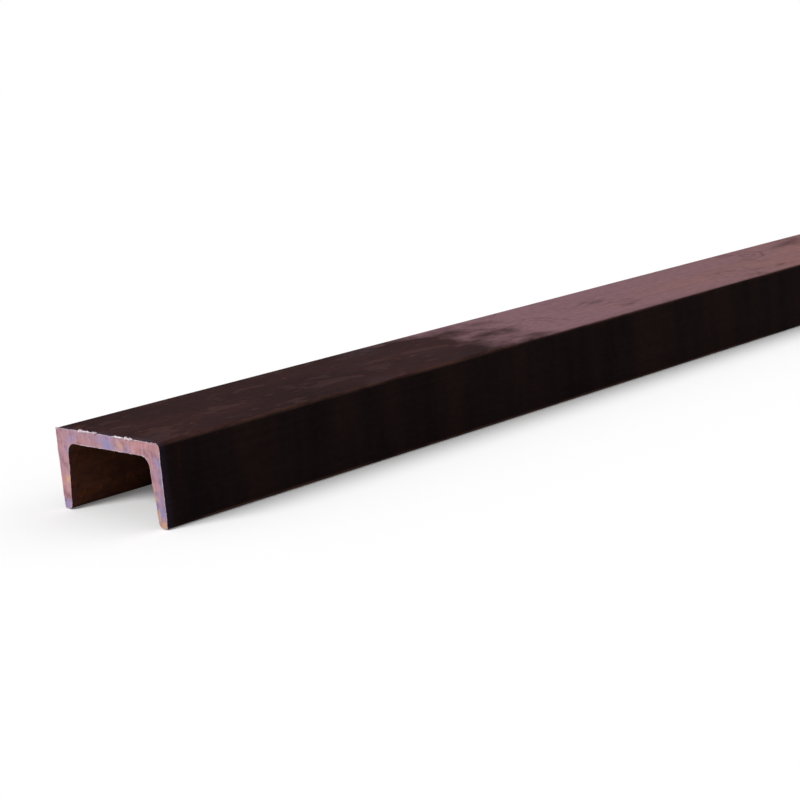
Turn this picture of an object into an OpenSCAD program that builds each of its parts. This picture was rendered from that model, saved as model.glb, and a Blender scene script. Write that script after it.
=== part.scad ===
// Hot-rolled taper-flange steel channel: one bar of a single C section.
// It lies on the toes of its two flanges, with the back of the web on top.
// X runs along the bar, Y across the web and Z up. The origin is on the floor,
// at the middle of the footprint. All lengths are in millimetres.

/* [Bar] */
// Length of the bar
bar_length = 3000; // [1000:50:12000]

/* [Section] */
// Depth of the section, over the outer faces of the two flanges
section_depth = 76.2; // [65:0.1:102]
// Width of a flange, from the back of the web to the toe
flange_width = 38.1; // [34:0.1:51]
// Thickness of the web
web_thickness = 6.5; // [4:0.1:8]
// Thickness of a flange, halfway along its reach below the web
flange_thickness = 6.9; // [6:0.1:9]
// Slope of a flange's inner face, in degrees from the outer face
flange_slope = 5; // [0:0.5:6]

/* [Radii] */
// Fillet at the root, where a flange's inner face meets the web
root_radius = 5.5; // [4:0.1:9]
// Rounding of the inner edge of a toe
toe_radius = 2.4; // [1:0.1:2.6]
// Rounding of the outer edge of a toe
tip_radius = 0.8; // [0.3:0.1:1.2]
// Rounding of the outer corner between the web and a flange
heel_radius = 1.8; // [0.5:0.1:3]

/* [Hidden] */
$fn = 64;

// How far a cut reaches past the edge that it cuts
cut_overlap = 1;
// How far a rounding's arc reaches past the two sides that it joins, so that it meets them cleanly
arc_overlap = 0.001;
half_depth = section_depth / 2;
flange_reach = flange_width - web_thickness;

// Distance from the middle of the web to a flange's inner face, at height z above the toe
function inner_face(z) = half_depth - flange_thickness - (z - flange_reach / 2) * tan(flange_slope);

// Sharp corners of one side of the section, in the plane across the bar
heel = [half_depth, flange_width];
tip = [half_depth, 0];
toe = [inner_face(0), 0];
root = [inner_face(flange_reach), flange_reach];

// Directions along the sides that meet at those corners
up = [0, 1];
down = [0, -1];
inward = [-1, 0];
outward = [1, 0];
down_inner_face = (toe - root) / norm(toe - root);

function mirrored(point) = [-point[0], point[1]];

// The sliver between a sharp corner and the arc tangent to the two sides that meet there.
// Taking it away rounds the corner.
module corner_sliver(corner, side_a, side_b, radius) {
    half_angle = acos(side_a * side_b) / 2;
    bisector = (side_a + side_b) / norm(side_a + side_b);
    tangent_length = radius / tan(half_angle);
    arc_centre = corner + bisector * (radius - arc_overlap) / sin(half_angle);
    past_corner = corner - bisector * cut_overlap;
    difference() {
        polygon([
            past_corner,
            corner + side_a * tangent_length,
            arc_centre,
            corner + side_b * tangent_length
        ]);
        translate(arc_centre) circle(r = radius);
    }
}

// Draws its children on the right of the section, and mirrored on the left
module both_sides() {
    for (flip = [0, 1]) mirror([flip, 0]) children();
}

// The hollow between the flanges, open at the toes and rounded at the roots
module hollow() {
    mouth = [inner_face(-cut_overlap), -cut_overlap];
    difference() {
        polygon([mouth, root, mirrored(root), mirrored(mouth)]);
        both_sides() corner_sliver(root, inward, down_inner_face, root_radius);
    }
}

// The C section, with the toes on the ground line and the web on top
module channel_section() {
    difference() {
        polygon([heel, tip, mirrored(tip), mirrored(heel)]);
        hollow();
        both_sides() {
            corner_sliver(heel, inward, down, heel_radius);
            corner_sliver(tip, inward, up, tip_radius);
            corner_sliver(toe, outward, -down_inner_face, toe_radius);
        }
    }
}

// The bar: the section carried along X, centred on the origin
module channel_beam() {
    color("dimgray")
        rotate([90, 0, 90])
            linear_extrude(height = bar_length, center = true)
                channel_section();
}

channel_beam();
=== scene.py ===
# %% [markdown]
# A bar of hot-rolled steel channel.
# The rolling mill squeezes a hot billet into a C-shaped section, a saw cuts the cooled bar to length,
# and the bar then lies in the yard, where its dark skin of scale starts to rust.
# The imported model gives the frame: X runs along the bar, Y across the web and Z up, in metres.
# The bar lies on the toes of its flanges, with the back of the web on top.

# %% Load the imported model
import bmesh
import bpy
import cmath
import math
from mathutils import Matrix, Vector


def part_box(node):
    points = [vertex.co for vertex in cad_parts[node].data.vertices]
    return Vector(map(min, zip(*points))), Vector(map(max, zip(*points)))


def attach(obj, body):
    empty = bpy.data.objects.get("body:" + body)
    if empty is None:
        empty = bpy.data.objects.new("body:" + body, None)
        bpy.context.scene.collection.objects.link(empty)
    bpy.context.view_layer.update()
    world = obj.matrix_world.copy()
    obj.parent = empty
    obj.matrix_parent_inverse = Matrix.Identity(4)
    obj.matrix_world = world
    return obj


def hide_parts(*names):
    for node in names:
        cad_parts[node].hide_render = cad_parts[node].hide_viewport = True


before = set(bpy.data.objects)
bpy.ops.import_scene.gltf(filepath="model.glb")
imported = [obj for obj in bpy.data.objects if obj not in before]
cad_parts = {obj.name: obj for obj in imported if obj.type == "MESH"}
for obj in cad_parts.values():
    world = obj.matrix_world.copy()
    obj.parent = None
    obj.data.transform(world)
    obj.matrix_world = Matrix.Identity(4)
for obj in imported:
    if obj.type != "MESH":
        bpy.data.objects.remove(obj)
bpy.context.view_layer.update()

MM = 0.001
bar_low, bar_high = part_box("channel_beam")
BAR_LENGTH = bar_high.x - bar_low.x
SECTION_DEPTH = bar_high.y - bar_low.y
FLANGE_WIDTH = bar_high.z - bar_low.z
HALF_LENGTH = BAR_LENGTH / 2
HALF_DEPTH = SECTION_DEPTH / 2
print("bar", round(BAR_LENGTH, 3), "m long")
print("section", round(SECTION_DEPTH / MM, 1), "by", round(FLANGE_WIDTH / MM, 1), "mm")

# %% [markdown]
# The camera looks at the bar from where the photograph was taken.
# The edges of a straight bar run to vanishing points, and three of those give the photograph's angle and
# lens. Turned to the bar and with a longer lens, the camera shows what an enlargement of that part of the
# photograph would, while a step closer would change the perspective. One point places the camera: the near
# corner of the web lands on a chosen pixel, at the depth that it has in the photograph.

# %% Camera
PHOTO_SIDE = 800.0
FOCAL_PIXELS = 1818.0
CAMERA_AZIMUTH = math.radians(-44.2)
CAMERA_ELEVATION = math.radians(11.8)
CAMERA_ROLL = math.radians(-5.1)
CORNER_PIXEL = (158.0, 444.0)
CORNER_DEPTH = 0.775


def camera_axes(azimuth, elevation, roll):
    """The camera's right, up and back directions in the frame."""
    back = Vector((
        math.sin(azimuth) * math.cos(elevation),
        -math.cos(azimuth) * math.cos(elevation),
        math.sin(elevation),
    ))
    level_right = Vector((0, 0, 1)).cross(back).normalized()
    level_up = back.cross(level_right)
    right = level_right * math.cos(roll) + level_up * math.sin(roll)
    return right, back.cross(right), back


right, up, back = camera_axes(CAMERA_AZIMUTH, CAMERA_ELEVATION, CAMERA_ROLL)
sideways = (CORNER_PIXEL[0] - PHOTO_SIDE / 2) / FOCAL_PIXELS
upwards = (PHOTO_SIDE / 2 - CORNER_PIXEL[1]) / FOCAL_PIXELS
near_corner = Vector((-HALF_LENGTH, -HALF_DEPTH, FLANGE_WIDTH))
camera_place = near_corner - (right * sideways + up * upwards - back) * CORNER_DEPTH

camera_data = bpy.data.cameras.new("camera")
camera_data.sensor_width = 36.0
camera_data.lens = camera_data.sensor_width * FOCAL_PIXELS / PHOTO_SIDE
camera_data.clip_start = 0.01
camera = bpy.data.objects.new("camera", camera_data)
camera.matrix_world = Matrix.Translation(camera_place) @ Matrix((right, up, back)).transposed().to_4x4()
bpy.context.scene.collection.objects.link(camera)
bpy.context.scene.camera = camera
print("camera at", [round(value, 3) for value in camera_place], "lens", round(camera_data.lens, 2))

# %% [markdown]
# The stage is a white floor under soft daylight.
# The light comes from beyond the near end, so that the cut end and the web are bright and the flange
# stays dark. Suns light the whole length evenly, which a lamp close to a long bar can't do.

# %% Lights
def add_sun(name, towards, strength, softness):
    """A sun that stands in the given direction. Softness is the width of its disc in degrees."""
    sun_data = bpy.data.lights.new(name, "SUN")
    sun_data.energy = strength
    sun_data.angle = math.radians(softness)
    sun = bpy.data.objects.new(name, sun_data)
    sun.rotation_euler = Vector(towards).to_track_quat("Z", "Y").to_euler()
    bpy.context.scene.collection.objects.link(sun)


add_sun("key_light", towards=(-0.80, 0.20, 0.62), strength=2.5, softness=28.0)
add_sun("fill_light", towards=(0.70, -0.50, 0.50), strength=0.35, softness=60.0)
bpy.context.scene.view_settings.view_transform = "Standard"
print("lights", [item.name for item in bpy.data.lights])

# %% [markdown]
# Sky, materials and shapes are all trees of nodes. Clicked together they leave nothing to read, so short
# helpers write them down instead. They add a node and link or fill its inputs, take its first output, do
# one step of arithmetic, and turn a value into a soft step between two limits.

# %% Helpers for node trees
def add_node(tree, kind, inputs=None, **options):
    """Adds a node, sets its options, and links or fills each input by its name or number."""
    made = tree.nodes.new(kind)
    for option, value in options.items():
        setattr(made, option, value)
    for key, value in (inputs or {}).items():
        if isinstance(value, bpy.types.NodeSocket):
            tree.links.new(value, made.inputs[key])
        else:
            made.inputs[key].default_value = value
    return made


def output_of(tree, kind, inputs=None, **options):
    """Adds a node and returns its first output."""
    return add_node(tree, kind, inputs, **options).outputs[0]


def calculate(tree, operation, *values):
    """One step of arithmetic."""
    return output_of(tree, "ShaderNodeMath", dict(enumerate(values)), operation=operation)


def soft_step(tree, value, low, high):
    """0 at low, 1 at high and a smooth rise between them. With low above high it falls instead."""
    limits = {"Value": value, "From Min": low, "From Max": high}
    return output_of(tree, "ShaderNodeMapRange", limits, interpolation_type="SMOOTHSTEP")


# %% [markdown]
# The sky is white where it is looked at, and dimmer where it gives light.
# One white sky for both would light the bar too strongly, so the kind of ray chooses between two skies.

# %% Sky
WHITE = (1.0, 1.0, 1.0, 1.0)
SKY_LIGHT = 0.42


def is_looked_at(tree):
    """1 for rays that look, straight on, mirrored or through glass, and 0 for rays that light."""
    rays = add_node(tree, "ShaderNodeLightPath").outputs
    looks = calculate(tree, "MAXIMUM", rays["Is Camera Ray"], rays["Is Glossy Ray"])
    return calculate(tree, "MAXIMUM", looks, rays["Is Transmission Ray"])


def mix_shaders(tree, amount, shader_a, shader_b):
    return output_of(tree, "ShaderNodeMixShader", {0: amount, 1: shader_a, 2: shader_b})


world = bpy.data.worlds.new("sky")
world.use_nodes = True
sky = world.node_tree
sky.nodes.clear()
light_sky = output_of(sky, "ShaderNodeBackground", {"Color": WHITE, "Strength": SKY_LIGHT})
shown_sky = output_of(sky, "ShaderNodeBackground", {"Color": WHITE, "Strength": 1.0})
both_skies = mix_shaders(sky, is_looked_at(sky), light_sky, shown_sky)
add_node(sky, "ShaderNodeOutputWorld", {"Surface": both_skies})
bpy.context.scene.world = world
print("sky gives light of strength", SKY_LIGHT)

# %% [markdown]
# To the camera the floor is white and keeps the bar's shadow, and far away it fades into the white sky.
# To light that bounces it is grey, because a white floor would brighten the dark side of the flange.
# It lies a little below the toes, which would otherwise share its plane.

# %% Floor
FLOOR_SIDE = 60.0
FLOOR_DROP = 0.4 * MM
FADE_START = 3.0
FADE_END = 8.0
BOUNCE_GREY = (0.30, 0.30, 0.30, 1.0)
FLOOR_WHITE = (0.95, 0.95, 0.95, 1.0)
WHITE_LIFT = 0.10


def new_material(name):
    """A material with an empty tree. Its third value is where a point lies on the piece."""
    material = bpy.data.materials.new(name)
    material.use_nodes = True
    tree = material.node_tree
    tree.nodes.clear()
    place = add_node(tree, "ShaderNodeTexCoord").outputs["Object"]
    return material, tree, place


floor_mesh = bpy.data.meshes.new("floor")
reach = FLOOR_SIDE / 2
floor_corners = [(-reach, -reach), (reach, -reach), (reach, reach), (-reach, reach)]
floor_mesh.from_pydata([(x, y, -FLOOR_DROP) for x, y in floor_corners], [], [(0, 1, 2, 3)])
floor = bpy.data.objects.new("floor", floor_mesh)
bpy.context.scene.collection.objects.link(floor)

floor_paint, tree, place = new_material("floor_paint")
distance = add_node(tree, "ShaderNodeVectorMath", {0: place}, operation="LENGTH").outputs["Value"]
fade = soft_step(tree, distance, FADE_START, FADE_END)
bounce_floor = output_of(tree, "ShaderNodeBsdfDiffuse", {"Color": BOUNCE_GREY})
white_floor = output_of(tree, "ShaderNodeBsdfDiffuse", {"Color": FLOOR_WHITE})
white_lift = output_of(tree, "ShaderNodeEmission", {"Color": WHITE, "Strength": WHITE_LIFT})
near_floor = output_of(tree, "ShaderNodeAddShader", {0: white_floor, 1: white_lift})
far_floor = output_of(tree, "ShaderNodeEmission", {"Color": WHITE, "Strength": 1.0})
shown_floor = mix_shaders(tree, fade, near_floor, far_floor)
both_floors = mix_shaders(tree, is_looked_at(tree), bounce_floor, shown_floor)
add_node(tree, "ShaderNodeOutputMaterial", {"Surface": both_floors})
floor_mesh.materials.append(floor_paint)
print("floor", FLOOR_SIDE, "m wide")

# %% [markdown]
# The bar's materials share two effects, blotches and rust, so each effect is a node group.
# A group is built once, and every material places it with its own values.

# %% Start of a node group
def new_group(name, kind, inputs, outputs):
    """A node group with named sockets. Returns the tree, its input sockets and its output sockets."""
    group = bpy.data.node_groups.new(name, kind)
    for label, socket_type in inputs.items():
        group.interface.new_socket(label, in_out="INPUT", socket_type="NodeSocket" + socket_type)
    for label, socket_type in outputs.items():
        group.interface.new_socket(label, in_out="OUTPUT", socket_type="NodeSocket" + socket_type)
    entry = group.nodes.new("NodeGroupInput")
    exit_node = group.nodes.new("NodeGroupOutput")
    return group, entry.outputs, exit_node.inputs


def parts_of(tree, vector):
    """The X, Y and Z of a vector."""
    return add_node(tree, "ShaderNodeSeparateXYZ", {0: vector}).outputs


def vector_of(tree, x, y, z):
    return output_of(tree, "ShaderNodeCombineXYZ", {0: x, 1: y, 2: z})


def product(tree, first, *others):
    """All values multiplied."""
    for other in others:
        first = calculate(tree, "MULTIPLY", first, other)
    return first


def weighted_sum(tree, base, *parts):
    """A base value plus parts. Each part is a value and its weight."""
    for value, weight in parts:
        base = calculate(tree, "MULTIPLY_ADD", value, weight, base)
    return base


# %% [markdown]
# Blotches are uneven patches of a tone: where noise is above a threshold, there is a patch.
# More cover lowers the threshold through the noise, and softness blurs the patch's edge. On rolled steel
# most patches are drawn out along the bar, so the group has an input that stretches them.

# %% Blotches
NOISE_LOW = 0.25
NOISE_HIGH = 0.75

blotches, given, result = new_group(
    "blotches",
    "ShaderNodeTree",
    {
        "Place": "Vector", "Size": "Float", "Stretch": "Float",
        "Cover": "Float", "Softness": "Float", "Seed": "Float",
    },
    {"Mask": "Float", "Tone": "Float"},
)
axes = parts_of(blotches, given["Place"])
along = calculate(blotches, "DIVIDE", axes["X"], given["Stretch"])
drawn_out = vector_of(blotches, along, axes["Y"], axes["Z"])
per_metre = calculate(blotches, "DIVIDE", 1.0, given["Size"])
tone = output_of(
    blotches,
    "ShaderNodeTexNoise",
    {"Vector": drawn_out, "W": given["Seed"], "Scale": per_metre, "Detail": 5.0, "Roughness": 0.58},
    noise_dimensions="4D",
)
threshold = weighted_sum(blotches, NOISE_HIGH, (given["Cover"], NOISE_LOW - NOISE_HIGH))
half_soft = product(blotches, given["Softness"], 0.5)
patch_starts = calculate(blotches, "SUBTRACT", threshold, half_soft)
patch_full = calculate(blotches, "ADD", threshold, half_soft)
blotches.links.new(soft_step(blotches, tone, patch_starts, patch_full), result["Mask"])
blotches.links.new(tone, result["Tone"])


def add_blotches(tree, place, size, stretch, cover, softness, seed):
    inputs = {
        "Place": place, "Size": size, "Stretch": stretch,
        "Cover": cover, "Softness": softness, "Seed": seed,
    }
    return add_node(tree, "ShaderNodeGroup", inputs, node_tree=blotches).outputs


print(blotches.name, "has", len(blotches.nodes), "nodes")

# %% [markdown]
# Rust is a crust that starts as spots and joins up where there is more of it.
# One colour would look like paint. Here coarse noise decides where the crust is and how old it is, dark
# where it is old and brown or orange where it is fresh. A fine grain mottles it and makes it stand up.

# %% Rust
def paint(red, green, blue):
    """A screen colour from 0 to 255 as the linear colour that shaders use."""
    channels = [value / 255 for value in (red, green, blue)]
    linear = [v / 12.92 if v <= 0.04045 else ((v + 0.055) / 1.055) ** 2.4 for v in channels]
    return (*linear, 1.0)


def mix_colours(tree, amount, colour_a, colour_b):
    inputs = {0: amount, 6: colour_a, 7: colour_b}
    return add_node(tree, "ShaderNodeMix", inputs, data_type="RGBA").outputs[2]


OLD_RUST = paint(74, 38, 30)
BROWN_RUST = paint(96, 46, 30)
ORANGE_RUST = paint(168, 96, 52)
AMOUNT_WEIGHT = 0.5
CRUST_EDGES = (0.68, 0.84)
FRESH_EDGES = (0.40, 0.66)
ORANGE_EDGES = (0.35, 0.70)

rust, given, result = new_group(
    "rust",
    "ShaderNodeTree",
    {"Place": "Vector", "Amount": "Float", "Seed": "Float"},
    {"Colour": "Color", "Mask": "Float", "Height": "Float"},
)
crust = output_of(
    rust,
    "ShaderNodeTexNoise",
    {"Vector": given["Place"], "W": given["Seed"], "Scale": 130.0, "Detail": 6.0, "Roughness": 0.68},
    noise_dimensions="4D",
)
grain = output_of(
    rust,
    "ShaderNodeTexNoise",
    {"Vector": given["Place"], "Scale": 620.0, "Detail": 4.0, "Roughness": 0.7},
)
growth = weighted_sum(rust, crust, (given["Amount"], AMOUNT_WEIGHT))
rust_mask = soft_step(rust, growth, *CRUST_EDGES)
orange = soft_step(rust, grain, *ORANGE_EDGES)
fresh_rust = mix_colours(rust, orange, BROWN_RUST, ORANGE_RUST)
freshness = soft_step(rust, crust, *FRESH_EDGES)
rust.links.new(mix_colours(rust, freshness, OLD_RUST, fresh_rust), result["Colour"])
rust.links.new(rust_mask, result["Mask"])
rust.links.new(product(rust, rust_mask, grain), result["Height"])


def add_rust(tree, place, amount, seed):
    inputs = {"Place": place, "Amount": amount, "Seed": seed}
    return add_node(tree, "ShaderNodeGroup", inputs, node_tree=rust).outputs


print(rust.name, "has", len(rust.nodes), "nodes")

# %% [markdown]
# The rolled skin is mill scale: a thin, hard, brown-black oxide that grows while the bar is still hot.
# It isn't the same all over. The web has weathered and carries a painted sheen, the flange sides are nearly
# black, partly from dark scale and partly from painted shade, and the hollow is rusty. Three materials
# would meet in hard lines, so one material tells these places apart by where a point lies in the section,
# with soft steps between them.

# %% Places on the section
FACE_EDGES = (1.1 * MM, 0.3 * MM)
SIDE_TO_HOLLOW = (3.2 * MM, 4.6 * MM)
WEB_TO_HOLLOW = (2.2 * MM, 4.4 * MM)


def step_below(tree, value, top, first, last):
    """A soft step that starts and ends this far below a top value."""
    return soft_step(tree, value, top - first, top - last)


rolled_skin, tree, place = new_material("rolled_skin")
axes = parts_of(tree, place)
off_middle = calculate(tree, "ABSOLUTE", axes["Y"])
height = axes["Z"]
from_end = calculate(tree, "SUBTRACT", HALF_LENGTH, calculate(tree, "ABSOLUTE", axes["X"]))
on_web = step_below(tree, height, FLANGE_WIDTH, *FACE_EDGES)
off_web = calculate(tree, "SUBTRACT", 1.0, on_web)
on_side = product(tree, step_below(tree, off_middle, HALF_DEPTH, *FACE_EDGES), off_web)
in_hollow = product(
    tree,
    step_below(tree, off_middle, HALF_DEPTH, *SIDE_TO_HOLLOW),
    step_below(tree, height, FLANGE_WIDTH, *WEB_TO_HOLLOW),
)
print("skin tells web, sides and hollow apart with", len(tree.nodes), "nodes")

# %% [markdown]
# Scale is never one tone. Its broad blotches are drawn out along the bar, thin flakes have come off in
# patches, and the rolls leave fine lines. Each is a layer of blotches with its own size and stretch.

# %% Scale, flakes and roll lines
DARK_SCALE = paint(34, 18, 19)
BROWN_SCALE = paint(50, 28, 28)
BARE_FLAKE = paint(84, 60, 56)


def lay_over(tree, base, mask, colour, strength):
    """A colour laid over another one where the mask is, as strongly as given."""
    return mix_colours(tree, product(tree, mask, strength), base, colour)


fine_scale = add_blotches(tree, place, size=2.5 * MM, stretch=2.0, cover=0.5, softness=0.5, seed=3.0)
broad_scale = add_blotches(tree, place, size=30 * MM, stretch=3.0, cover=0.5, softness=0.4, seed=8.0)
flakes = add_blotches(tree, place, size=11 * MM, stretch=1.8, cover=0.34, softness=0.05, seed=12.0)
roll_lines = add_blotches(tree, place, size=1.6 * MM, stretch=160.0, cover=0.5, softness=0.4, seed=17.0)
skin = mix_colours(tree, broad_scale["Mask"], DARK_SCALE, BROWN_SCALE)
skin = lay_over(tree, skin, flakes["Mask"], BARE_FLAKE, strength=0.22)
print("scale brings the skin to", len(tree.nodes), "nodes")

# %% [markdown]
# Some way from each end the web has weathered to a pale mauve bloom, which turns warmer and browner along
# the bar. The bloom is partly weathering and partly painted sheen, which stands in for the shine of the
# scale seen at a flat angle. It starts as ragged patches that join up. A plain fade would look sprayed on,
# so the cover of the blotches rises with the distance from the cut instead, and they grow together at
# their own edges.

# %% Bloom and painted sheen on the web
MAUVE_BLOOM_AND_SHEEN = paint(128, 97, 103)
WARM_BLOOM_AND_SHEEN = paint(139, 100, 94)
BROWN_BLOOM_AND_SHEEN = paint(112, 78, 68)
BLOOM_AND_SHEEN_REACH = (0.12, 0.34)
WARM_REACH = (0.2, 0.9)
BROWN_REACH = (0.4, 1.1)
COVER_AT_CUT = 0.06
COVER_GAIN = 0.92
BROWN_COVER = 0.5

bloom_and_sheen_cover = weighted_sum(tree, COVER_AT_CUT, (soft_step(tree, from_end, *BLOOM_AND_SHEEN_REACH), COVER_GAIN))
bloom_and_sheen = add_blotches(tree, place, size=60 * MM, stretch=1.6, cover=bloom_and_sheen_cover, softness=0.16, seed=21.0)
bloom_and_sheen_on_web = product(tree, bloom_and_sheen["Mask"], on_web)
warm_cover = soft_step(tree, from_end, *WARM_REACH)
warmth = add_blotches(tree, place, size=90 * MM, stretch=4.0, cover=warm_cover, softness=0.30, seed=33.0)
bloom_and_sheen_colour = mix_colours(tree, warmth["Mask"], MAUVE_BLOOM_AND_SHEEN, WARM_BLOOM_AND_SHEEN)
brown_cover = product(tree, soft_step(tree, from_end, *BROWN_REACH), BROWN_COVER)
browned = add_blotches(tree, place, size=200 * MM, stretch=3.0, cover=brown_cover, softness=0.2, seed=36.0)
bloom_and_sheen_colour = lay_over(tree, bloom_and_sheen_colour, browned["Mask"], BROWN_BLOOM_AND_SHEEN, strength=0.7)
print("bloom brings the skin to", len(tree.nodes), "nodes")

# %% [markdown]
# Drops of water have dried on the bloom and left faint, broken rings.
# Cell noise gives each drop a middle and the distance to it, and folding that distance back and forth
# makes rings. Blotches bend the rings and rub parts of them out, or they would look like targets.

# %% Rings of dried drops
DRIED_WATER = paint(82, 60, 68)
DROP_SPACING = 60 * MM
RINGS_PER_SPACING = 7.0
RING_BEND = 0.9
RING_EDGES = (0.30, 0.0)
DROP_EDGES = (0.42, 0.25)
KEPT_EDGES = (0.40, 0.60)

drops = add_node(
    tree,
    "ShaderNodeTexVoronoi",
    {"Vector": place, "Scale": 1 / DROP_SPACING, "Randomness": 1.0},
    voronoi_dimensions="2D",
).outputs
ripple = add_blotches(tree, place, size=34 * MM, stretch=1.0, cover=0.52, softness=0.25, seed=41.0)
off_drop = weighted_sum(tree, drops["Distance"], (ripple["Tone"], RING_BEND))
off_drop = calculate(tree, "SUBTRACT", off_drop, RING_BEND / 2)
folded = calculate(tree, "PINGPONG", product(tree, off_drop, RINGS_PER_SPACING), 0.5)
ring_line = soft_step(tree, folded, *RING_EDGES)
in_drop = soft_step(tree, off_drop, *DROP_EDGES)
kept_drop = soft_step(tree, parts_of(tree, drops["Color"])["X"], *KEPT_EDGES)
rings = product(tree, ring_line, ripple["Mask"], in_drop, kept_drop)
bloom_and_sheen_colour = lay_over(tree, bloom_and_sheen_colour, rings, DRIED_WATER, strength=0.55)
# The bloom is laid on the web here, partly as weathering and partly as painted sheen.
skin = mix_colours(tree, bloom_and_sheen_on_web, skin, bloom_and_sheen_colour)
print("rings bring the skin to", len(tree.nodes), "nodes")

# %% [markdown]
# Dark smears lie on the web in groups. Blotches alone would spread them evenly, so two layers are
# multiplied: a broad one chooses the places, and a finer one makes the smears there.

# %% Smears on the web
SMEAR = paint(48, 31, 37)

smears = add_blotches(tree, place, size=30 * MM, stretch=2.0, cover=0.30, softness=0.14, seed=47.0)
smear_zone = add_blotches(tree, place, size=70 * MM, stretch=2.5, cover=0.5, softness=0.2, seed=52.0)
smear_on_web = product(tree, smears["Mask"], smear_zone["Mask"], on_web)
skin = mix_colours(tree, smear_on_web, skin, SMEAR)
print("smears bring the skin to", len(tree.nodes), "nodes")

# %% [markdown]
# Rain runs down the flange sides, so their blotches are drawn out in height and not along the bar.
# Squeezing the height before the noise does that. A few runs carry rust, which thins out downwards.

# %% Flange sides
# The near-black side colours are partly dark scale and partly painted shade on the flange sides.
SHADED_BLACK_SIDE = paint(25, 18, 20)
SHADED_BROWN_SIDE = paint(41, 29, 27)
RUST_RUN = paint(88, 48, 30)
DOWN_SQUEEZE = (1.0, 1.0, 0.10)
RUN_REACH = (-0.3 * FLANGE_WIDTH, FLANGE_WIDTH)


def vector_product(tree, vector, factor):
    return output_of(tree, "ShaderNodeVectorMath", {0: vector, 1: factor}, operation="MULTIPLY")


streak_place = vector_product(tree, place, DOWN_SQUEEZE)
streaks = add_blotches(tree, streak_place, size=14 * MM, stretch=1.6, cover=0.5, softness=0.5, seed=61.0)
shaded_side_colour = mix_colours(tree, streaks["Mask"], SHADED_BLACK_SIDE, SHADED_BROWN_SIDE)
runs = add_blotches(tree, streak_place, size=34 * MM, stretch=1.0, cover=0.16, softness=0.16, seed=73.0)
fading_runs = product(tree, runs["Mask"], soft_step(tree, height, *RUN_REACH))
shaded_side_colour = lay_over(tree, shaded_side_colour, fading_runs, RUST_RUN, strength=0.6)
skin = mix_colours(tree, on_side, skin, shaded_side_colour)
print("flange sides bring the skin to", len(tree.nodes), "nodes")

# %% [markdown]
# The hollow stays damp and has turned rust brown. The toes and the heels, which rub in handling, are
# paler, partly from wear and partly from a painted highlight along the edge. A heel can't be told by the
# height alone, because the web has the same height. It is where the distance from the middle and the
# height add up to nearly the sharp corner's.

# %% Hollow, and edges with wear and painted highlight
DARK_HOLLOW = paint(80, 49, 41)
BROWN_HOLLOW = paint(118, 74, 54)
WORN_EDGE_AND_HIGHLIGHT = paint(128, 92, 80)
HEEL_EDGES = (1.9 * MM, 1.1 * MM)
TOE_EDGES = (1.6 * MM, 0.6 * MM)
HEEL_WEAR_AND_HIGHLIGHT = 0.4

hollow_tone = add_blotches(tree, place, size=12 * MM, stretch=2.0, cover=0.5, softness=0.4, seed=85.0)
hollow_colour = mix_colours(tree, hollow_tone["Mask"], DARK_HOLLOW, BROWN_HOLLOW)
skin = mix_colours(tree, in_hollow, skin, hollow_colour)

corner_sum = calculate(tree, "ADD", off_middle, height)
on_heel = step_below(tree, corner_sum, HALF_DEPTH + FLANGE_WIDTH, *HEEL_EDGES)
on_toe = soft_step(tree, height, *TOE_EDGES)
on_edge = calculate(tree, "MAXIMUM", product(tree, on_heel, HEEL_WEAR_AND_HIGHLIGHT), on_toe)
wear_and_highlight = add_blotches(tree, place, size=6 * MM, stretch=5.0, cover=0.5, softness=0.3, seed=97.0)
# The paler colour on the toes and heels is partly wear and partly painted highlight.
skin = lay_over(tree, skin, product(tree, on_edge, wear_and_highlight["Mask"]), WORN_EDGE_AND_HIGHLIGHT, strength=0.45)
print("hollow and edges bring the skin to", len(tree.nodes), "nodes")

# %% [markdown]
# Rust spots are thickest in the hollow, on the toes and beside the cut, and rare on the flange sides.
# Painting each place by hand would take four masks, so one amount is summed up from the places.
# The saw's heat has tinted the last few millimetres of scale blue.

# %% Rust and heat on the skin
HEAT_BLUE = paint(70, 62, 84)
RUST_REACH = 20 * MM
HEAT_REACH = (5.0 * MM, 1.0 * MM)
RUST_EVERYWHERE = 0.12

near_cut = soft_step(tree, from_end, RUST_REACH, 0.0)
rust_amount = weighted_sum(
    tree, RUST_EVERYWHERE, (in_hollow, 0.22), (on_side, -0.06), (on_toe, 0.16), (near_cut, 0.14),
)
skin_rust = add_rust(tree, place, amount=rust_amount, seed=5.0)
skin = lay_over(tree, skin, skin_rust["Mask"], skin_rust["Colour"], strength=0.8)
skin = lay_over(tree, skin, soft_step(tree, from_end, *HEAT_REACH), HEAT_BLUE, strength=0.2)
print("rust and heat bring the skin to", len(tree.nodes), "nodes")

# %% [markdown]
# The fine scale and the roll lines shade every colour a little, and all layers together give the relief.
# Scale is only a few hundredths of a millimetre thick, so its relief is bump and not geometry.
# Its shine is set very low, because dull scale stays dark even when it is seen at a flat angle.

# %% Relief and shader of the rolled skin
def finish_surface(tree, colour, roughness, relief, strength, depth, shine):
    """Ends a material with its relief as bump, and with a shader that has its own shine."""
    bump = output_of(tree, "ShaderNodeBump", {"Height": relief, "Strength": strength, "Distance": depth})
    surface = {"Base Color": colour, "Roughness": roughness, "Normal": bump, **shine}
    shader = output_of(tree, "ShaderNodeBsdfPrincipled", surface)
    add_node(tree, "ShaderNodeOutputMaterial", {"Surface": shader})


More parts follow.
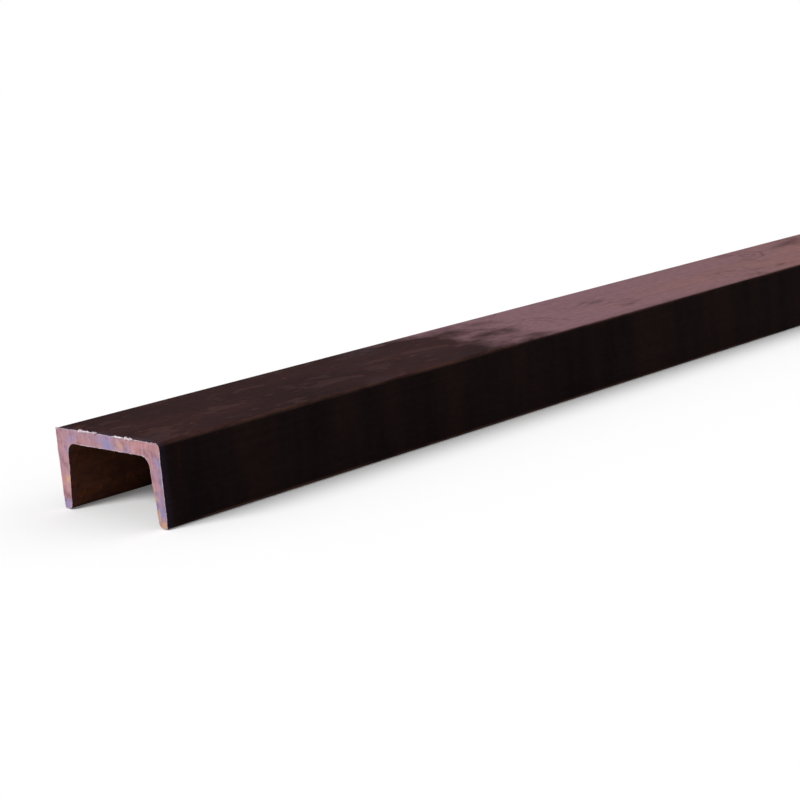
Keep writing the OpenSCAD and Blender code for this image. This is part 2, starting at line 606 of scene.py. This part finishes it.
grain_shade = weighted_sum(tree, 0.65, (fine_scale["Tone"], 0.7))
line_shade = weighted_sum(tree, 0.75, (roll_lines["Tone"], 0.5))
skin = vector_product(tree, skin, product(tree, grain_shade, line_shade))
roughness = weighted_sum(
    tree, 0.62, (bloom_and_sheen_on_web, 0.16), (smear_on_web, -0.15), (skin_rust["Mask"], 0.2),
)
relief = weighted_sum(
    tree, fine_scale["Tone"], (broad_scale["Tone"], 0.4), (flakes["Mask"], -0.25),
    (roll_lines["Tone"], 0.3), (skin_rust["Height"], 0.9),
)
finish_surface(
    tree, skin, roughness, relief,
    strength=0.6, depth=0.25 * MM, shine={"Specular IOR Level": 0.005},
)
print("rolled skin has", len(tree.nodes), "nodes")

# %% [markdown]
# The cut end is bare steel. The saw heats it, so it has run through the tempering colours: lilac and pink
# with blue patches and straw spots. They are layers of blotches again, this time without a stretch.

# %% Tempering colours of the cut face
LILAC = paint(173, 130, 142)
PINK = paint(184, 132, 136)
TEMPER_BLUE = paint(130, 133, 182)
DULL_VIOLET = paint(118, 82, 98)
STRAW = paint(212, 160, 112)

cut_face, tree, place = new_material("cut_face")
pink = add_blotches(tree, place, size=16 * MM, stretch=1.0, cover=0.5, softness=0.3, seed=4.0)
blue = add_blotches(tree, place, size=14 * MM, stretch=1.0, cover=0.40, softness=0.20, seed=15.0)
straw = add_blotches(tree, place, size=8 * MM, stretch=1.0, cover=0.27, softness=0.14, seed=29.0)
dull = add_blotches(tree, place, size=5 * MM, stretch=1.0, cover=0.36, softness=0.18, seed=38.0)
steel = mix_colours(tree, pink["Mask"], LILAC, PINK)
steel = lay_over(tree, steel, blue["Mask"], TEMPER_BLUE, strength=0.8)
steel = lay_over(tree, steel, dull["Mask"], DULL_VIOLET, strength=0.6)
steel = lay_over(tree, steel, straw["Mask"], STRAW, strength=0.75)
print("tempering colours take", len(tree.nodes), "nodes")

# %% [markdown]
# Fine lines show the way the blade went through. Noise that is drawn out in height makes them, a little
# tilted, as a saw comes in. The outer rim of the cut is rubbed brighter. A material can't find that edge by
# itself, so the mesh carries a value named rim, 1 at the edge and 0 in the middle of the thickness.

# %% Saw lines, rim and shader of the cut face
RUBBED_RIM = paint(184, 154, 163)
SAW_TILT = math.radians(12.0)
SAW_SQUEEZE = (1.0, 1.0, 0.04)
RIM_EDGES = (0.72, 1.0)

saw_turn = {"Vector": place, "Rotation": (SAW_TILT, 0.0, 0.0), "Scale": SAW_SQUEEZE}
saw_place = output_of(tree, "ShaderNodeMapping", saw_turn)
saw_lines = output_of(tree, "ShaderNodeTexNoise", {"Vector": saw_place, "Scale": 900.0, "Detail": 3.0})
steel = vector_product(tree, steel, weighted_sum(tree, 0.62, (saw_lines, 0.8)))
rim = add_node(tree, "ShaderNodeAttribute", attribute_name="rim").outputs["Fac"]
steel = lay_over(tree, steel, soft_step(tree, rim, *RIM_EDGES), RUBBED_RIM, strength=0.35)
cut_rust = add_rust(tree, place, amount=0.26, seed=11.0)
steel = lay_over(tree, steel, cut_rust["Mask"], cut_rust["Colour"], strength=0.75)
roughness = weighted_sum(tree, 0.46, (cut_rust["Mask"], 0.3))
relief = weighted_sum(tree, saw_lines, (cut_rust["Height"], 0.6))
finish_surface(tree, steel, roughness, relief, strength=0.5, depth=0.2 * MM, shine={"Metallic": 0.25})
print("cut face has", len(tree.nodes), "nodes")

# %% [markdown]
# The saw leaves a burr along the edges of the cut: a thin lip of metal with frozen beads on it.
# It is the brightest steel on the bar, with a trace of rust, and its near-white patches are partly bright
# metal and partly painted glints. Full metal would only mirror the white stage, so it is partly metal and
# keeps a colour of its own.

# %% Burr metal
GREY_METAL = paint(168, 138, 150)
BRIGHT_METAL_AND_GLINT = paint(236, 226, 232)

burr_metal, tree, place = new_material("burr_metal")
sheen = add_blotches(tree, place, size=3 * MM, stretch=1.0, cover=0.5, softness=0.3, seed=2.0)
# The near-white end of this mix is partly bright metal and partly painted glints.
metal = mix_colours(tree, sheen["Mask"], GREY_METAL, BRIGHT_METAL_AND_GLINT)
burr_rust = add_rust(tree, place, amount=0.20, seed=19.0)
metal = lay_over(tree, metal, burr_rust["Mask"], burr_rust["Colour"], strength=0.8)
roughness = weighted_sum(tree, 0.3, (sheen["Tone"], 0.3))
finish_surface(tree, metal, roughness, sheen["Tone"], strength=0.3, depth=0.1 * MM, shine={"Metallic": 0.3})
print("burr metal has", len(tree.nodes), "nodes")

# %% [markdown]
# The section is drawn as two rails, an outer and an inner one, that run from toe to toe over the web.
# One closed outline would do for the sides, but the cut needs points inside it too. Both rails have the
# same number of points, and each point faces its partner across the thickness, so rows can be put between.
# A point of the section is a complex number, y + z·1j, because turning it is then a multiplication.

# %% Arcs and straights
def rounded(before, corner, after, radius, steps):
    """Points of the arc that rounds a corner, from the side before it to the side after it."""
    to_before = (before - corner) / abs(before - corner)
    to_after = (after - corner) / abs(after - corner)
    half_angle = abs(cmath.phase(to_after / to_before)) / 2
    bisector = (to_before + to_after) / abs(to_before + to_after)
    centre = corner + bisector * radius / math.sin(half_angle)
    first = corner + to_before * radius / math.tan(half_angle) - centre
    last = corner + to_after * radius / math.tan(half_angle) - centre
    turn = cmath.phase(last / first)
    return [centre + first * cmath.exp(1j * turn * step / steps) for step in range(steps + 1)]


def straight(start, end, steps):
    """Points between two ends, without the ends."""
    return [start + (end - start) * step / steps for step in range(1, steps)]


# %% Rails of the section
WEB_THICKNESS = 6.5 * MM
FLANGE_THICKNESS = 6.9 * MM
FLANGE_SLOPE = math.radians(5.0)
ROOT_RADIUS = 5.5 * MM
TOE_RADIUS = 2.4 * MM
TIP_RADIUS = 0.8 * MM
HEEL_RADIUS = 1.8 * MM
FLAT_STEPS = 2
TOE_ARC_STEPS = 6
FACE_STEPS = 30
CORNER_ARC_STEPS = 8
WEB_STEPS = 30


def half_rail(start, toe_corner, toe_radius, web_corner, web_radius, middle):
    """One half of a rail, from the middle of a toe to the middle of the web."""
    toe_arc = rounded(start, toe_corner, web_corner, toe_radius, TOE_ARC_STEPS)
    web_arc = rounded(toe_corner, web_corner, middle, web_radius, CORNER_ARC_STEPS)
    points = [start]
    points += straight(start, toe_arc[0], FLAT_STEPS) + toe_arc
    points += straight(toe_arc[-1], web_arc[0], FACE_STEPS) + web_arc
    points += straight(web_arc[-1], middle, WEB_STEPS) + [middle]
    return points


def whole_rail(half):
    """A half rail and its mirror image."""
    return half + [complex(-point.real, point.imag) for point in reversed(half[:-1])]


flange_reach = FLANGE_WIDTH - WEB_THICKNESS
half_taper = flange_reach / 2 * math.tan(FLANGE_SLOPE)
inner_toe = HALF_DEPTH - FLANGE_THICKNESS + half_taper
inner_root = HALF_DEPTH - FLANGE_THICKNESS - half_taper
toe_middle = complex((inner_toe + TOE_RADIUS + HALF_DEPTH - TIP_RADIUS) / 2, 0)
outer_rail = whole_rail(half_rail(
    toe_middle, complex(HALF_DEPTH, 0), TIP_RADIUS,
    complex(HALF_DEPTH, FLANGE_WIDTH), HEEL_RADIUS, complex(0, FLANGE_WIDTH),
))
inner_rail = whole_rail(half_rail(
    toe_middle, complex(inner_toe, 0), TOE_RADIUS,
    complex(inner_root, flange_reach), ROOT_RADIUS, complex(0, flange_reach),
))
print("rails of", len(outer_rail), "and", len(inner_rail), "points")

# %% [markdown]
# Geometry Nodes read the rails from two helper objects, and a third holds the outline of the cut.
# A tree grows on an empty object, and the result is kept as a plain mesh, which needs no tree any more.

# %% Helper objects and growing a tree
def wire_object(name, points, closed):
    """A mesh of points joined by edges, drawn in the plane across the bar."""
    mesh = bpy.data.meshes.new(name)
    edges = [(index, index + 1) for index in range(len(points) - 1)]
    if closed:
        edges.append((len(points) - 1, 0))
    mesh.from_pydata([(0, point.real, point.imag) for point in points], edges, [])
    wire = bpy.data.objects.new(name, mesh)
    bpy.context.scene.collection.objects.link(wire)
    return wire


def grow(name, tree, values):
    """Runs a Geometry Nodes tree and returns an object with the resulting plain mesh."""
    piece = bpy.data.objects.new(name, bpy.data.meshes.new(name + "_start"))
    bpy.context.scene.collection.objects.link(piece)
    modifier = piece.modifiers.new("shape", "NODES")
    modifier.node_group = tree
    for socket in tree.interface.items_tree:
        if socket.in_out == "INPUT":
            modifier[socket.identifier] = values[socket.name]
    depsgraph = bpy.context.evaluated_depsgraph_get()
    grown = bpy.data.meshes.new_from_object(piece.evaluated_get(depsgraph), depsgraph=depsgraph)
    piece.modifiers.clear()
    piece.data = grown
    grown.name = name
    return piece


outer_wire = wire_object("outer_rail", outer_rail, closed=False)
inner_wire = wire_object("inner_rail", inner_rail, closed=False)
outline = outer_rail + inner_rail[-2:0:-1]
outline_wire = wire_object("outline", outline, closed=True)
print("outline of", len(outline), "points")

# %% [markdown]
# The bar itself is the section carried along a line. An outline that is extruded and filled would have
# one large face on the cut, which can't be made rough. So a flat grid is bent into the section: its columns
# follow the rails, and its rows cross the thickness. At the toes the rails meet, and the points there are
# welded.

# %% Section from a bent grid
WELD = 0.005 * MM

sweep, given, result = new_group(
    "swept_bar",
    "GeometryNodeTree",
    {
        "Outer rail": "Object", "Inner rail": "Object", "Rail points": "Int", "Points across": "Int",
        "Length": "Float", "Stations": "Int", "Cut roughness": "Float", "Edge wander": "Float",
        "Rolling wave": "Float", "Seed": "Float", "Skin": "Material", "Cut": "Material",
    },
    {"Geometry": "Geometry"},
)


def rail_points(tree, rail, index):
    """The place of a rail's point by its number."""
    points = add_node(tree, "GeometryNodeObjectInfo", {"Object": rail}).outputs["Geometry"]
    own_place = output_of(tree, "GeometryNodeInputPosition")
    inputs = {"Geometry": points, "Value": own_place, "Index": index}
    return output_of(tree, "GeometryNodeSampleIndex", inputs, data_type="FLOAT_VECTOR")


def store(tree, geometry, name, value, **options):
    """Keeps a value on the geometry under a name."""
    inputs = {"Geometry": geometry, "Name": name, "Value": value}
    return output_of(tree, "GeometryNodeStoreNamedAttribute", inputs, **options)


def weld(tree, geometry):
    return output_of(tree, "GeometryNodeMergeByDistance", {"Geometry": geometry, "Distance": WELD})


place = output_of(sweep, "GeometryNodeInputPosition")
grid = output_of(sweep, "GeometryNodeMeshGrid", {
    "Size X": 1.0, "Size Y": 1.0,
    "Vertices X": given["Rail points"], "Vertices Y": given["Points across"],
})
grid_place = parts_of(sweep, place)
last_column = calculate(sweep, "SUBTRACT", given["Rail points"], 1.0)
column = product(sweep, calculate(sweep, "ADD", grid_place["X"], 0.5), last_column)
column = calculate(sweep, "ROUND", column)
depth = calculate(sweep, "ADD", grid_place["Y"], 0.5)
outer_point = rail_points(sweep, given["Outer rail"], column)
inner_point = rail_points(sweep, given["Inner rail"], column)
across = {0: depth, 4: outer_point, 5: inner_point}
between = add_node(sweep, "ShaderNodeMix", across, data_type="VECTOR").outputs[1]
rim = calculate(sweep, "ABSOLUTE", weighted_sum(sweep, -1.0, (depth, 2.0)))
grid = store(sweep, grid, "rim", rim)
section = output_of(sweep, "GeometryNodeSetPosition", {"Geometry": grid, "Position": between})
section = weld(sweep, section)
print("section takes", len(sweep.nodes), "nodes")

# %% [markdown]
# The sides are the open edge of that grid, swept along the bar's axis.
# Even steps would need thousands of faces or leave the ends coarse. So the cross-sections crowd together
# near the ends, where the cut is rough and the mesh needs points, and the long straight middle has few.
# Each point keeps how far round the section it lies, for the map.

# %% Sides
STATION_CROWDING = 2.2

face_count = output_of(sweep, "GeometryNodeInputMeshEdgeNeighbors")
one_face = {2: face_count, 3: 1}
open_edge = output_of(sweep, "FunctionNodeCompare", one_face, data_type="INT", operation="EQUAL")
section_edge = output_of(sweep, "GeometryNodeMeshToCurve", {"Mesh": section, "Selection": open_edge})
edge_place = parts_of(sweep, place)
turned_y = product(sweep, edge_place["Y"], -1.0)
turned_z = product(sweep, edge_place["Z"], -1.0)
turned = {"Geometry": section_edge, "Position": vector_of(sweep, turned_y, turned_z, 0.0)}
profile = output_of(sweep, "GeometryNodeSetPosition", turned)

axis = output_of(sweep, "GeometryNodeCurvePrimitiveLine", {"Start": (-1, 0, 0), "End": (1, 0, 0)})
axis = output_of(sweep, "GeometryNodeResampleCurve", {"Curve": axis, "Count": given["Stations"]})
along = parts_of(sweep, place)["X"]
inward = calculate(sweep, "SUBTRACT", 1.0, calculate(sweep, "ABSOLUTE", along))
crowded = calculate(sweep, "SUBTRACT", 1.0, calculate(sweep, "POWER", inward, STATION_CROWDING))
half_bar = product(sweep, given["Length"], 0.5)
station = product(sweep, crowded, half_bar, calculate(sweep, "SIGN", along))
stations = {"Geometry": axis, "Position": vector_of(sweep, station, 0.0, 0.0)}
axis = output_of(sweep, "GeometryNodeSetPosition", stations)

around = add_node(sweep, "GeometryNodeSplineParameter").outputs["Length"]
profile = store(sweep, profile, "around", around)
sides = output_of(sweep, "GeometryNodeCurveToMesh", {"Curve": axis, "Profile Curve": profile})
around = output_of(sweep, "GeometryNodeInputNamedAttribute", {"Name": "around"}, data_type="FLOAT")
sides = store(sweep, sides, "around", around, domain="CORNER")
sides = store(sweep, sides, "rim", 1.0)
print("sides bring the tree to", len(sweep.nodes), "nodes")

# %% [markdown]
# The bent grid closes both ends, and its faces are marked as cut, so that they get bare steel later.
# Welded to the sides, it makes one closed skin.

# %% Ends
section = store(sweep, section, "cut_end", True, data_type="BOOLEAN", domain="FACE")
joined = add_node(sweep, "GeometryNodeJoinGeometry")
for end_x in (half_bar, product(sweep, half_bar, -1.0)):
    moved = {"Geometry": section, "Translation": vector_of(sweep, end_x, 0.0, 0.0)}
    sweep.links.new(output_of(sweep, "GeometryNodeTransform", moved), joined.inputs[0])
sweep.links.new(sides, joined.inputs[0])
bar = weld(sweep, joined.outputs[0])
print("ends bring the tree to", len(sweep.nodes), "nodes")

# %% [markdown]
# A sawn face isn't flat and its edge wanders, and a rolled face has long, shallow waves.
# Bump can't change an outline, so three swings of noise push the points: along the bar on the cut, and
# outwards at its edge and on the sides. The first two die away a few millimetres from the end. The
# materials come last.

# %% Roughness and materials
CUT_REACH = 4.0 * MM
CUT_LUMPS_PER_METRE = 170.0
WANDERS_PER_METRE = 110.0
WAVES_PER_METRE = 28.0
ALONG_SQUEEZE = (0.15, 1.0, 1.0)


def swing(tree, place, per_metre, seed):
    """Noise, mostly from 0.25 to 0.75, stretched so that it swings about zero from -1 to 1."""
    inputs = {"Vector": place, "W": seed, "Scale": per_metre, "Detail": 3.0}
    tone = output_of(tree, "ShaderNodeTexNoise", inputs, noise_dimensions="4D")
    return weighted_sum(tree, -2.0, (tone, 4.0))


def scaled(tree, vector, size):
    return output_of(tree, "ShaderNodeVectorMath", {0: vector, "Scale": size}, operation="SCALE")


off_centre = calculate(sweep, "ABSOLUTE", parts_of(sweep, place)["X"])
close_to_cut = soft_step(sweep, calculate(sweep, "SUBTRACT", half_bar, off_centre), CUT_REACH, 0.0)
cut_swing = swing(sweep, place, CUT_LUMPS_PER_METRE, given["Seed"])
rough_cut = product(sweep, cut_swing, given["Cut roughness"], close_to_cut)
edge_swing = swing(sweep, place, WANDERS_PER_METRE, calculate(sweep, "ADD", given["Seed"], 10.0))
wander = product(sweep, edge_swing, given["Edge wander"], close_to_cut)
wave_place = vector_product(sweep, place, ALONG_SQUEEZE)
wave_swing = swing(sweep, wave_place, WAVES_PER_METRE, calculate(sweep, "ADD", given["Seed"], 20.0))
wave = product(sweep, wave_swing, given["Rolling wave"])
outwards = output_of(sweep, "GeometryNodeInputNormal")
outward_push = scaled(sweep, outwards, calculate(sweep, "ADD", wander, wave))
both_pushes = {0: outward_push, 1: vector_of(sweep, rough_cut, 0.0, 0.0)}
push = output_of(sweep, "ShaderNodeVectorMath", both_pushes, operation="ADD")
bar = output_of(sweep, "GeometryNodeSetPosition", {"Geometry": bar, "Offset": push})
bar = output_of(sweep, "GeometryNodeRealizeInstances", {"Geometry": bar})
bar = output_of(sweep, "GeometryNodeSetMaterial", {"Geometry": bar, "Material": given["Skin"]})
cut_end = output_of(sweep, "GeometryNodeInputNamedAttribute", {"Name": "cut_end"}, data_type="BOOLEAN")
cut_paint = {"Geometry": bar, "Selection": cut_end, "Material": given["Cut"]}
sweep.links.new(output_of(sweep, "GeometryNodeSetMaterial", cut_paint), result["Geometry"])
print("swept bar has", len(sweep.nodes), "nodes")

# %% [markdown]
# The tree runs once, and its mesh is turned to face outwards and shaded smooth, with sharp edges at the
# cut. A closed mesh has no open edge, and its volume tells whether the walls are thick enough.

# %% Make the bar
SHARP_ANGLE = math.radians(50.0)

channel_bar = grow("channel_bar", sweep, {
    "Outer rail": outer_wire, "Inner rail": inner_wire, "Rail points": len(outer_rail), "Points across": 9,
    "Length": BAR_LENGTH, "Stations": 130, "Cut roughness": 0.35 * MM, "Edge wander": 0.25 * MM,
    "Rolling wave": 0.05 * MM, "Seed": 6.0, "Skin": rolled_skin, "Cut": cut_face,
})


def point_outwards(mesh):
    """Turns every face of a closed mesh outwards. Returns its number of open edges and its volume."""
    work = bmesh.new()
    work.from_mesh(mesh)
    bmesh.ops.recalc_face_normals(work, faces=work.faces)
    open_edges = [edge for edge in work.edges if not edge.is_manifold]
    volume = work.calc_volume(signed=True)
    work.to_mesh(mesh)
    work.free()
    return len(open_edges), volume


bar_mesh = channel_bar.data
open_edges, volume = point_outwards(bar_mesh)
bar_mesh.shade_smooth()
bar_mesh.set_sharp_from_angle(angle=SHARP_ANGLE)
print("bar:", len(bar_mesh.polygons), "faces,", open_edges, "open edges,", round(volume * 1e6), "cm3")

# %% [markdown]
# A library keeps the bar's colours as one square picture, wrapped on by a map.
# A map of the whole length in one strip would squeeze it, so the sides are cut into three lengths that lie
# next to each other, and the two small cut ends are drawn larger beside them.

# %% Map of the bar
MAP_SIDE = 1.06
MAP_LENGTHS = 3
MAP_GAP = 6 * MM
END_ENLARGEMENT = 4.5

perimeter = sum(abs(outline[index] - outline[index - 1]) for index in range(len(outline)))
length_on_map = BAR_LENGTH / MAP_LENGTHS
end_margin = (MAP_SIDE - length_on_map) / 2
ends_left = MAP_GAP + MAP_LENGTHS * (perimeter + MAP_GAP)


def side_on_map(mesh, face):
    """Places of a side face's corners on the map, in metres."""
    around = [mesh.attributes["around"].data[loop].value for loop in face.loop_indices]
    if max(around) - min(around) > perimeter / 2:
        around = [value + perimeter if value < perimeter / 2 else value for value in around]
    number = min(int((face.center.x + HALF_LENGTH) / length_on_map), MAP_LENGTHS - 1)
    left = MAP_GAP + number * (perimeter + MAP_GAP)
    bottom = end_margin - (number * length_on_map - HALF_LENGTH)
    return [
        (left + value, bottom + mesh.vertices[vertex].co.x)
        for value, vertex in zip(around, face.vertices)
    ]


def end_on_map(mesh, face):
    """Places of a cut face's corners on the map, in metres. The far end lies above the near one."""
    bottom = MAP_SIDE / 4 if face.center.x < 0 else MAP_SIDE * 3 / 4
    corners = [mesh.vertices[vertex].co for vertex in face.vertices]
    return [
        (ends_left + corner.z * END_ENLARGEMENT, bottom + corner.y * END_ENLARGEMENT)
        for corner in corners
    ]


cut_slot = bar_mesh.materials.find(cut_face.name)
bake_map = bar_mesh.uv_layers.new(name="OFBake")
for face in bar_mesh.polygons:
    on_map = end_on_map if face.material_index == cut_slot else side_on_map
    for loop, spot in zip(face.loop_indices, on_map(bar_mesh, face)):
        bake_map.uv[loop].vector = Vector(spot) / MAP_SIDE
bar_mesh.attributes.remove(bar_mesh.attributes["around"])
for number, side in enumerate("UV"):
    spread = [item.vector[number] for item in bake_map.uv]
    print("map", side, "from", round(min(spread), 3), "to", round(max(spread), 3))

# %% [markdown]
# The burr follows the outline of the cut as a wire that swells and thins. Modelled by hand it would look
# placed, so noise decides where: high values make a thick lip, and low values leave a clean edge. It is
# thickest on the web's top edge, where the saw breaks out.

# %% Lip of the burr
TOP_EDGES = (2.5 * MM, 0.5 * MM)
SWELLS_PER_METRE = 95.0
SWELL_EDGES = (-0.1, 0.8)
SWELL_ELSEWHERE = 0.3
THINNEST_LIP = 0.04 * MM

burr, given, result = new_group(
    "burr",
    "GeometryNodeTree",
    {
        "Outline": "Object", "Place": "Vector", "Thickest": "Float", "Spacing": "Float",
        "Smallest bead": "Float", "Largest bead": "Float", "Crumple": "Float", "Seed": "Int",
        "Metal": "Material",
    },
    {"Geometry": "Geometry"},
)
loop = add_node(burr, "GeometryNodeObjectInfo", {"Object": given["Outline"]}).outputs["Geometry"]
loop = output_of(burr, "GeometryNodeTransform", {"Geometry": loop, "Translation": given["Place"]})
loop = output_of(burr, "GeometryNodeMeshToCurve", {"Mesh": loop})
even_steps = {"Curve": loop, "Length": given["Spacing"]}
loop = output_of(burr, "GeometryNodeResampleCurve", even_steps, mode="LENGTH")
place = output_of(burr, "GeometryNodeInputPosition")
on_top = step_below(burr, parts_of(burr, place)["Z"], FLANGE_WIDTH, *TOP_EDGES)
swell = soft_step(burr, swing(burr, place, SWELLS_PER_METRE, given["Seed"]), *SWELL_EDGES)
swell = product(burr, swell, weighted_sum(burr, SWELL_ELSEWHERE, (on_top, 1 - SWELL_ELSEWHERE)))
thickness = weighted_sum(burr, THINNEST_LIP, (swell, given["Thickest"]))
ring = output_of(burr, "GeometryNodeCurvePrimitiveCircle", {"Resolution": 6, "Radius": 1.0})
swept_ring = {"Curve": loop, "Profile Curve": ring, "Scale": thickness}
lip = output_of(burr, "GeometryNodeCurveToMesh", swept_ring)
print("lip takes", len(burr.nodes), "nodes")

# %% [markdown]
# Beads of molten steel have frozen on the lip where it is thick. They are spheres of few faces on points
# along the outline, each with its own size, stretch and turn. A last push of fine noise crumples lip and
# beads, because smooth spheres would look like pearls.

# %% Beads on the burr
BEAD_CHANCE = 0.6
BEAD_ELSEWHERE = 0.4
BEAD_STRETCH = (0.6, 1.6)
BEAD_TURN = (0.0, 6.28)
CRUMPLES_PER_METRE = 1700.0


def next_seed(step):
    return calculate(burr, "ADD", given["Seed"], step)


def random_vector(limits, seed):
    """A random vector whose three parts lie between two limits."""
    low, high = limits
    inputs = {0: (low, low, low), 1: (high, high, high), "Seed": seed}
    return output_of(burr, "FunctionNodeRandomValue", inputs, data_type="FLOAT_VECTOR")


def random_value(inputs):
    return add_node(burr, "FunctionNodeRandomValue", inputs, data_type="FLOAT").outputs[1]


even_points = {"Curve": loop, "Length": given["Spacing"]}
bead_points = output_of(burr, "GeometryNodeCurveToPoints", even_points, mode="LENGTH")
chance = random_value({"Seed": given["Seed"]})
grows_bead = calculate(burr, "LESS_THAN", chance, product(burr, swell, BEAD_CHANCE))
bead_size = random_value({2: given["Smallest bead"], 3: given["Largest bead"], "Seed": next_seed(1)})
bead_size = product(burr, bead_size, weighted_sum(burr, BEAD_ELSEWHERE, (on_top, 1 - BEAD_ELSEWHERE)))
bead = output_of(burr, "GeometryNodeMeshUVSphere", {"Segments": 8, "Rings": 5, "Radius": 1.0})
beads = output_of(burr, "GeometryNodeInstanceOnPoints", {
    "Points": bead_points, "Selection": grows_bead, "Instance": bead,
    "Scale": scaled(burr, random_vector(BEAD_STRETCH, next_seed(2)), bead_size),
    "Rotation": random_vector(BEAD_TURN, next_seed(3)),
})
joined = add_node(burr, "GeometryNodeJoinGeometry")
for part in (beads, lip):
    burr.links.new(part, joined.inputs[0])
metal_shape = output_of(burr, "GeometryNodeRealizeInstances", {"Geometry": joined.outputs[0]})
crumple = product(burr, swing(burr, place, CRUMPLES_PER_METRE, given["Seed"]), given["Crumple"])
crumpled = scaled(burr, output_of(burr, "GeometryNodeInputNormal"), crumple)
metal_shape = output_of(burr, "GeometryNodeSetPosition", {"Geometry": metal_shape, "Offset": crumpled})
metal_coat = {"Geometry": metal_shape, "Material": given["Metal"]}
burr.links.new(output_of(burr, "GeometryNodeSetMaterial", metal_coat), result["Geometry"])
print("burr has", len(burr.nodes), "nodes")

# %% [markdown]
# Each end gets a burr of its own seed. After that the helper objects have done their work.

# %% Make the burrs
burrs = []
for name, end_x, seed in (("burr_near", -HALF_LENGTH, 38), ("burr_far", HALF_LENGTH, 14)):
    piece = grow(name, burr, {
        "Outline": outline_wire, "Place": (end_x, 0.0, 0.0), "Thickest": 0.40 * MM, "Spacing": 0.6 * MM,
        "Smallest bead": 0.25 * MM, "Largest bead": 0.70 * MM, "Crumple": 0.12 * MM, "Seed": seed,
        "Metal": burr_metal,
    })
    open_edges, volume = point_outwards(piece.data)
    piece.data.shade_smooth()
    burrs.append(piece)
    print(name, len(piece.data.polygons), "faces,", open_edges, "open edges,", round(volume * 1e9), "mm3")

for helper in (outer_wire, inner_wire, outline_wire):
    bpy.data.objects.remove(helper)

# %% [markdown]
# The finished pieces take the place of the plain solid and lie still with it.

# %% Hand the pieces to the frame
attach(channel_bar, "root")
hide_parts("channel_beam")
for piece in burrs:
    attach(piece, "root")
print("handed over", [piece.name for piece in (channel_bar, *burrs)])

# %% Finish
bpy.context.view_layer.update()
